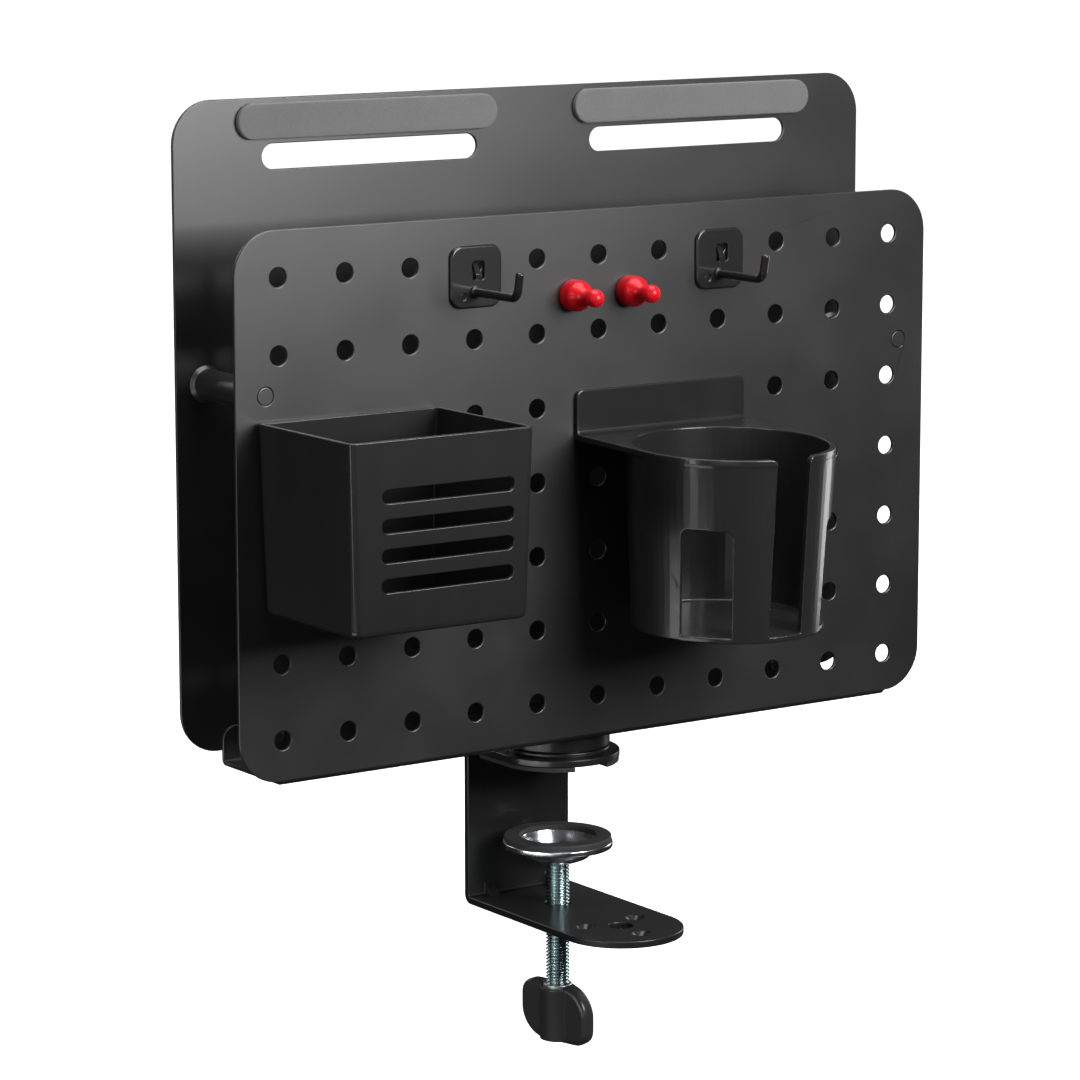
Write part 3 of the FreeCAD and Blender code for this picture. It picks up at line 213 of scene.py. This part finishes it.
def foam(name, base):
    """Dense felt-faced foam: short matted fibres over closed cells."""
    m, nt, p, co = start(name)
    fibre = noise(nt, co, 1500.0, 5.0, 0.75, (1.0, 1.0, 2.2))
    fibre_two = noise(nt, co, 1900.0, 4.0, 0.7, (2.4, 1.0, 1.0))
    vor = nt.nodes.new("ShaderNodeTexVoronoi")
    vor.inputs["Scale"].default_value = 1250.0
    nt.links.new(co, vor.inputs["Vector"])
    cloud = noise(nt, co, 55.0, 4.0, 0.6)
    h = add(nt, add(nt, fibre, fibre_two, 0.5, 0.5), vor.outputs["Distance"], 0.75, 0.35)
    nt.links.new(bump(nt, h, 0.75, 0.00014), p.inputs["Normal"])
    tone = add(nt, add(nt, fibre, fibre_two, 0.5, 0.5), cloud, 0.85, 0.15)
    nt.links.new(ramp(nt, tone, [(0.33, tint(base, 0.78)), (0.5, base), (0.67, tint(base, 1.22))]), p.inputs["Base Color"])
    nt.links.new(remap(nt, fibre, 0.86, 0.98), p.inputs["Roughness"])
    p.inputs["Specular IOR Level"].default_value = 0.25
    p.inputs["Sheen Weight"].default_value = 0.15
    p.inputs["Sheen Roughness"].default_value = 0.5
    p.inputs["Sheen Tint"].default_value = (0.75, 0.76, 0.77, 1.0)
    return m


MATERIAL = {
    "sheet_black": painted("sheet_black", (0.0075, 0.0075, 0.0076), 0.39, coat=0.22, coat_rough=0.26),
    "clamp_black": painted("clamp_black", (0.0066, 0.0066, 0.0068), 0.38, grain_strength=0.16, orange_strength=0.09, spec=0.24, coat=0.36, coat_rough=0.17),
    "swivel_black": painted("swivel_black", (0.0062, 0.0062, 0.0063), 0.40, grain_strength=0.14, spec=0.16, coat=0.26, coat_rough=0.18),
    "fastener_black": painted("fastener_black", (0.016, 0.016, 0.0165), 0.34, grain=3400.0, grain_strength=0.12, coat=0.3, coat_rough=0.2),
    "washer_nylon": moulded("washer_nylon", (0.055, 0.055, 0.055), 0.45),
    # zinc_steel's second colour is a painted reflection: the rod below the dish is made darker and bluer
    "zinc_steel": metal("zinc_steel", (0.62, 0.64, 0.665), 0.21, painted_reflection_tint=(0.34, 0.445, 0.455)),
    "rubber_black": rubber("rubber_black", (0.016, 0.016, 0.017)),
    "knob_black": moulded("knob_black", (0.022, 0.022, 0.0224), 0.42, spec=0.15, coat=0.36, coat_rough=0.2),
    "collar_grey": metal("collar_grey", (0.46, 0.49, 0.50), 0.34),
    "foam_grey": foam("foam_grey", (0.090, 0.090, 0.090)),
    "cup_black": moulded("cup_black", (0.0092, 0.0092, 0.0094), 0.42, spec=0.05, coat=0.58, coat_rough=0.19),
    "hook_black": painted("hook_black", (0.008, 0.008, 0.0082), 0.38, grain_strength=0.12, spec=0.12, coat=0.6, coat_rough=0.13),
    "pin_red": moulded("pin_red", (0.36, 0.003, 0.007), 0.36, grain=2600.0, strength=0.05, spec=0.10, coat=0.22, coat_rough=0.14),
    "magnet_nickel": metal("magnet_nickel", (0.62, 0.62, 0.60), 0.20, (30.0, 4.0, 30.0)),
}


# ---------------------------------------------------------------- meshes

def finish(obj, node, extra=()):
    """Material, slot, body and the nodes that the piece stands for."""
    slot = SLOT[node]
    obj.data.materials.clear()
    obj.data.materials.append(MATERIAL[slot])
    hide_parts(node, *extra)
    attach(obj, BODY[node])
    return obj


def place(name, bm, smooth=True):
    me = bpy.data.meshes.new(name)
    bm.normal_update()
    bm.to_mesh(me)
    bm.free()
    if smooth:
        me.polygons.foreach_set("use_smooth", [True] * len(me.polygons))
    obj = bpy.data.objects.new(name, me)
    bpy.context.scene.collection.objects.link(obj)
    return obj


def source(node, flat_angle=0.4):
    """The CAD node's mesh as a welded bmesh with its flat faces merged."""
    bm = bmesh.new()
    bm.from_mesh(NODES[node].data)
    bmesh.ops.remove_doubles(bm, verts=bm.verts, dist=1.5e-6)
    bmesh.ops.dissolve_degenerate(bm, dist=1e-7, edges=bm.edges)
    bmesh.ops.dissolve_limit(bm, angle_limit=math.radians(flat_angle), verts=bm.verts, edges=bm.edges, use_dissolve_boundaries=False)
    return bm


def baked(obj):
    """The object's modifiers, applied."""
    dg = bpy.context.evaluated_depsgraph_get()
    me = bpy.data.meshes.new_from_object(obj.evaluated_get(dg), preserve_all_data_layers=True, depsgraph=dg)
    old = obj.data
    obj.modifiers.clear()
    obj.data = me
    me.name = old.name
    bpy.data.meshes.remove(old)
    return obj


def softened(node, width, segments=3, angle=30.0, name=None, flat_angle=0.4, keep=None):
    """A copy of the node with every sharp edge rounded by width (mm)."""
    bm = source(node, flat_angle)
    if keep:
        keep(bm)
    obj = place(name or node + ".soft", bm)
    b = obj.modifiers.new("edge", "BEVEL")
    b.width = width * MM
    b.segments = segments
    b.limit_method = "ANGLE"
    b.angle_limit = math.radians(angle)
    b.use_clamp_overlap = False
    b.harden_normals = False
    b.miter_outer = "MITER_ARC"
    w = obj.modifiers.new("shade", "WEIGHTED_NORMAL")
    w.mode = "FACE_AREA_WITH_ANGLE"
    w.weight = 70
    w.keep_sharp = True
    baked(obj)
    return finish(obj, node)


def ring_surface(profile, steps, centre, axis="Z", close=False):
    """Turns profile [(radius, height), ...] in mm about an axis through centre (mm)."""
    bm = bmesh.new()
    rows = []
    for r, h in profile:
        if r < 1e-6:
            rows.append([bm.verts.new((0, 0, h))])
            continue
        rows.append([bm.verts.new((r * math.cos(2 * math.pi * i / steps), r * math.sin(2 * math.pi * i / steps), h)) for i in range(steps)])
    pairs = list(zip(rows, rows[1:])) + ([(rows[-1], rows[0])] if close else [])
    for a, b in pairs:
        for i in range(steps):
            j = (i + 1) % steps
            if len(a) == 1 and len(b) == 1:
                continue
            if len(a) == 1:
                bm.faces.new((a[0], b[i], b[j]))
            elif len(b) == 1:
                bm.faces.new((a[i], b[0], a[j]))
            else:
                bm.faces.new((a[i], b[i], b[j], a[j]))
    turn = Matrix.Identity(4)
    if axis == "-Y":
        turn = Matrix.Rotation(math.radians(90), 4, "X")
    bmesh.ops.transform(bm, matrix=Matrix.Scale(MM, 4) @ Matrix.Translation(Vector(centre)) @ turn, verts=bm.verts)
    bmesh.ops.recalc_face_normals(bm, faces=bm.faces)
    return bm


def arc(cx, cy, r, a0, a1, n):
    return [(cx + r * math.cos(math.radians(a0 + (a1 - a0) * i / n)), cy + r * math.sin(math.radians(a0 + (a1 - a0) * i / n))) for i in range(n + 1)]


# ---------------------------------------------------------------- steel parts
softened("front_pegboard", 0.42, 3)
softened("rear_panel", 0.42, 3)
softened("panel_standoffs", 0.25, 2)
softened("standoff_screws", 0.22, 2)
softened("flange_rivets", 0.15, 2)
softened("swivel_boss", 0.35, 3)
softened("boss_screws", 0.15, 2)
softened("swivel_base", 0.35, 3)
softened("swivel_base_screws", 0.15, 2)
softened("swivel_washer", 0.12, 2)
softened("pivot_bolt", 0.2, 2)
softened("pivot_washer", 0.15, 2)
softened("clamp_bracket", 0.45, 3)
softened("jaw_pad", 0.35, 3)
softened("screw_nut", 0.35, 3)
softened("knob_collar", 0.15, 2)
for side in ("left", "right"):
    softened("hook_plate_" + side, 0.28, 3)
    softened("hook_wire_" + side, 0.25, 3)
    softened("pin_shell_" + side, 0.2, 3)
    softened("pin_magnet_" + side, 0.2, 2)
softened("pen_cup", 0.38, 3)
softened("pen_cup_pegs", 0.25, 2)
softened("cup_holder_pegs", 0.25, 2)


# ---------------------------------------------------------------- disc and ring
def rounded_profile(points, radius, n=4):
    """Closed outline with each corner turned by an arc no larger than radius."""
    out = []
    m = len(points)
    for i, q in enumerate(points):
        p0, p1, p2 = Vector(points[i - 1]), Vector(q), Vector(points[(i + 1) % m])
        a, b = p0 - p1, p2 - p1
        r = radius[i] if isinstance(radius, (list, tuple)) else radius
        t = min(r, a.length * 0.45, b.length * 0.45)
        s, e = p1 + a.normalized() * t, p1 + b.normalized() * t
        for k in range(n + 1):
            u = k / n
            v = s * (1 - u) ** 2 + p1 * 2 * u * (1 - u) + e * u ** 2
            out.append((v.x, v.y))
    return out


def turned(node, points, radius, name):
    bm = ring_surface(rounded_profile(points, radius), 160, (0, 0, 0), close=True)
    return finish(place(name, bm), node)


turned("pressure_disc", [(3.06, -43.2), (8.0, -43.2), (13.5, -41.0), (14.7, -36.7), (22.9, -36.7), (22.9, -34.2),
                         (15.8, -34.2), (15.8, -33.5), (15.2, -33.5), (14.0, -36.8), (12.8, -39.2), (11.2, -40.6), (8.8, -41.0), (3.06, -41.0)],
       [0.15, 1.2, 1.6, 0.8, 0.7, 0.4, 0.1, 0.3, 0.3, 1.4, 1.4, 1.2, 1.0, 0.15], "pressure_disc.turned")
turned("disc_rubber_ring", [(15.85, -34.2), (22.4, -34.2), (22.4, -31.7), (15.85, -31.7)], [0.1, 0.1, 0.7, 0.5], "disc_rubber_ring.turned")

# ---------------------------------------------------------------- clamp screw
def thread(z_low, z_high, r_out, r_in, pitch, columns=36):
    """Right-hand thread as a sheared grid, so each row follows the helix."""
    prof = [(0.0, 0.0), (0.055, 0.0), (0.20, 0.5), (0.375, 1.0), (0.5, 1.0), (0.625, 1.0), (0.80, 0.5), (0.945, 0.0)]
    k = len(prof)
    bm = bmesh.new()
    turns = int((z_high - z_low) / pitch) + 3
    rows = []
    for t in range(-1, turns):
        for u, d in prof:
            rows.append((t + u, d))
    grid = []
    for j in range(columns):
        col = []
        for u, d in rows:
            z = z_low + (u + j / columns) * pitch
            zc = min(max(z, z_low), z_high)
            fade = min(1.0, (zc - z_low) / 0.9, (z_high - zc) / 0.9)
            r = r_out - (r_out - r_in) * d * max(0.0, fade) - (r_out - r_in) * 0.55 * (1 - max(0.0, fade))
            a = 2 * math.pi * j / columns
            col.append(bm.verts.new((r * math.cos(a), r * math.sin(a), zc)))
        grid.append(col)
    n = len(rows)
    for j in range(columns):
        a = grid[j]
        b = grid[(j + 1) % columns]
        lift = k if j == columns - 1 else 0
        for i in range(n - 1):
            i2, i3 = i - 0, i + 1
            if j == columns - 1:
                p, q = i2 + k, i3 + k
                if q >= n:
                    continue
                quad = (a[i2], b[p], b[q], a[i3])
            else:
                quad = (a[i2], b[i2], b[i3], a[i3])
            if (quad[0].co - quad[3].co).length < 1e-7 and (quad[1].co - quad[2].co).length < 1e-7:
                continue
            bm.faces.new(quad)
    bmesh.ops.remove_doubles(bm, verts=bm.verts, dist=1e-5)
    bmesh.ops.dissolve_degenerate(bm, dist=1e-6, edges=bm.edges)
    loose = [v for v in bm.verts if not v.link_faces]
    bmesh.ops.delete(bm, geom=loose, context="VERTS")
    bmesh.ops.holes_fill(bm, edges=[e for e in bm.edges if e.is_boundary], sides=0)
    bmesh.ops.transform(bm, matrix=Matrix.Scale(MM, 4), verts=bm.verts)
    bmesh.ops.recalc_face_normals(bm, faces=bm.faces)
    return bm


rod = thread(-112.9, -43.4, 4.98, 4.10, 1.5)
neck = ring_surface([(3.05, -45.4), (3.1, -44.4), (3.0, -43.6), (2.98, -41.0), (5.7, -40.9), (5.95, -40.65), (5.95, -39.95), (5.7, -39.6)]
                    + arc(4.0, -40.3, 1.55, 45, 80, 5) + [(2.2, -38.68), (1.9, -38.85), (0.0, -38.9)], 48, (0, 0, 0))
me = bpy.data.meshes.new("neck_tmp")
neck.to_mesh(me)
neck.free()
rod.from_mesh(me)
bpy.data.meshes.remove(me)
screw = place("clamp_screw.thread", rod)
screw.data.shade_smooth() if hasattr(screw.data, "shade_smooth") else None
finish(screw, "clamp_screw")

# ---------------------------------------------------------------- mouldings
def skinned(node, voxel, passes, name):
    """One moulded skin over the node's solid, its edges worn round."""
    bm = bmesh.new()
    bm.from_mesh(NODES[node].data)
    bmesh.ops.remove_doubles(bm, verts=bm.verts, dist=1.5e-6)
    obj = place(name, bm)
    r = obj.modifiers.new("skin", "REMESH")
    r.mode = "VOXEL"
    r.voxel_size = voxel * MM
    s = obj.modifiers.new("soft", "SMOOTH")
    s.factor = 0.5
    s.iterations = passes
    baked(obj)
    obj.data.polygons.foreach_set("use_smooth", [True] * len(obj.data.polygons))
    return finish(obj, node)


skinned("knob", 0.28, 9, "knob.moulded")
skinned("cup_holder", 0.32, 5, "cup_holder.moulded")


# ---------------------------------------------------------------- foam pads
def foam_pad(side):
    lo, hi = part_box("foam_pad_" + side)
    lo, hi = lo / MM, hi / MM
    cx, cz = (lo.x + hi.x) / 2, (lo.z + hi.z) / 2
    half, rad, deep = (hi.x - lo.x) / 2, (hi.z - lo.z) / 2, hi.y - lo.y
    bm = bmesh.new()

    def outline(inset, n=18):
        q = []
        r0 = rad - inset
        straight = half - rad
        steps = 46
        for i in range(steps + 1):
            q.append((-straight + 2 * straight * i / steps, r0))
        q += [(straight + r0 * math.sin(math.pi * i / n), r0 * math.cos(math.pi * i / n)) for i in range(1, n)]
        for i in range(steps + 1):
            q.append((straight - 2 * straight * i / steps, -r0))
        q += [(-straight - r0 * math.sin(math.pi * i / n), -r0 * math.cos(math.pi * i / n)) for i in range(1, n)]
        return q

    # (inset from the outline, height over the panel)
    section = [(0.12, 0.0), (0.0, 0.25), (0.0, deep - 0.6), (0.05, deep - 0.36), (0.19, deep - 0.16), (0.42, deep - 0.04), (0.8, deep), (2.4, deep), (4.2, deep), (6.2, deep)]
    rows = []
    for inset, h in section:
        row = []
        for i, (x, z) in enumerate(outline(inset)):
            wave = 0.05 * math.sin(x * 0.31 + z * 0.5 + cx) + 0.04 * math.sin(x * 0.83 - z * 0.9)
            k = min(1.0, max(0.0, (h - 0.4) / deep))
            row.append(bm.verts.new((cx + x, hi.y - h + (0.02 + wave * 0.25) * k, cz + z + 0.03 * math.sin(x * 1.7) * (1 if inset < 0.5 else 0))))
        rows.append(row)
    n = len(rows[0])
    for a, b in zip(rows, rows[1:]):
        for i in range(n):
            j = (i + 1) % n
            bm.faces.new((a[i], a[j], b[j], b[i]))
    bm.faces.new(list(reversed(rows[0])))
    # close the crown with one face over the top row; the loop along the middle adds no faces
    top = rows[-1]
    m = n // 2
    for i in range(m):
        a, b = top[i], top[i + 1]
        c, d = top[n - 2 - i if n - 2 - i >= 0 else 0], top[n - 1 - i]
    bm.faces.new(top)
    bmesh.ops.recalc_face_normals(bm, faces=bm.faces)
    bmesh.ops.transform(bm, matrix=Matrix.Scale(MM, 4), verts=bm.verts)
    obj = place("foam_pad_%s.felt" % side, bm)
    finish(obj, "foam_pad_" + side)
    return obj


foam_pad("left")
foam_pad("right")

# ---------------------------------------------------------------- stage
floor_z = -0.1445
bm = bmesh.new()
bmesh.ops.create_circle(bm, cap_ends=True, radius=4.0, segments=96, matrix=Matrix.Translation((0, 0, floor_z)))
floor = place("floor", bm, smooth=False)
m, nt, p, co = start("floor_pale")
n1 = noise(nt, co, 9.0, 4.0, 0.5)
nt.links.new(ramp(nt, n1, [(0.3, (0.90, 0.90, 0.90)), (0.7, (0.93, 0.93, 0.93))]), p.inputs["Base Color"])
p.inputs["Roughness"].default_value = 0.9
p.inputs["Specular IOR Level"].default_value = 0.1
floor.data.materials.append(m)
floor.visible_glossy = False
floor.visible_diffuse = False

world = bpy.data.worlds.new("studio")
bpy.context.scene.world = world
world.use_nodes = True
nt = world.node_tree
nt.nodes.clear()
out = nt.nodes.new("ShaderNodeOutputWorld")
mix = nt.nodes.new("ShaderNodeMixShader")
lp = nt.nodes.new("ShaderNodeLightPath")
white = nt.nodes.new("ShaderNodeBackground")
white.inputs["Color"].default_value = (1, 1, 1, 1)
white.inputs["Strength"].default_value = 1.1
soft = nt.nodes.new("ShaderNodeBackground")
tc = nt.nodes.new("ShaderNodeTexCoord")
sep = nt.nodes.new("ShaderNodeSeparateXYZ")
nt.links.new(tc.outputs["Generated"], sep.inputs[0])
# a dark room, a little lighter overhead
nt.links.new(remap(nt, sep.outputs["Z"], 0.02, 0.16, -0.2, 0.8), soft.inputs["Strength"])
nt.links.new(lp.outputs["Is Camera Ray"], mix.inputs["Fac"])
nt.links.new(soft.outputs[0], mix.inputs[1])
nt.links.new(white.outputs[0], mix.inputs[2])
nt.links.new(mix.outputs[0], out.inputs["Surface"])


def softbox(name, at, to, size, watts, size_y=None, spread=180.0):
    d = bpy.data.lights.new(name, "AREA")
    d.energy = watts
    d.shape = "RECTANGLE"
    d.size = size
    d.size_y = size_y or size
    d.spread = math.radians(spread)
    o = bpy.data.objects.new(name, d)
    o.location = at
    o.rotation_euler = (Vector(to) - Vector(at)).to_track_quat("-Z", "Y").to_euler()
    o.visible_camera = False
    bpy.context.scene.collection.objects.link(o)
    return o


overhead = bpy.data.lights.new("overhead", "SUN")
overhead.energy = 4.9
overhead.angle = math.radians(58)
o = bpy.data.objects.new("overhead", overhead)
o.rotation_euler = (0.0, 0.0, 0.0)
bpy.context.scene.collection.objects.link(o)
softbox("key", (0.18, -0.80, 0.47), (-0.01, 0.0, 0.18), 0.48, 16.0)
softbox("front_left", (-1.9, -2.1, 0.15), (0.0, 0.0, 0.05), 1.5, 6.5, 1.1)
softbox("left_strip", (-1.5, -0.37, 0.30), (0.0, 0.0, 0.05), 0.22, 6.0, 1.2)
softbox("right", (1.5, 0.22, 0.30), (0.0, 0.0, 0.05), 0.5, 8.0, 1.2)
softbox("rear", (-0.45, 1.6, 0.80), (0.0, 0.0, 0.10), 0.7, 4.5, 0.7)
softbox("low_left", (-0.49, -0.085, -0.095), (0.0, 0.0, -0.035), 0.56, 0.75, 0.085)

# ---------------------------------------------------------------- camera
cam_data = bpy.data.cameras.new("camera")
cam_data.sensor_fit = "HORIZONTAL"
cam_data.sensor_width = 36.0
cam_data.lens = 138.73
cam_data.clip_start = 0.05
cam_data.clip_end = 60.0
cam = bpy.data.objects.new("camera", cam_data)
bpy.context.scene.collection.objects.link(cam)
fwd = Vector((0.5634, 0.8085, -0.1700)).normalized()
right = fwd.cross(Vector((0, 0, 1))).normalized()
upv = right.cross(fwd).normalized()
rot = Matrix((right, upv, -fwd)).transposed().to_4x4()
cam.matrix_world = Matrix.Translation((-0.96903, -1.37784, 0.38282)) @ rot @ Matrix.Rotation(math.radians(-0.04), 4, "Z")
bpy.context.scene.camera = cam
bpy.context.scene.view_settings.view_transform = "Standard"
bpy.context.scene.view_settings.look = "None"
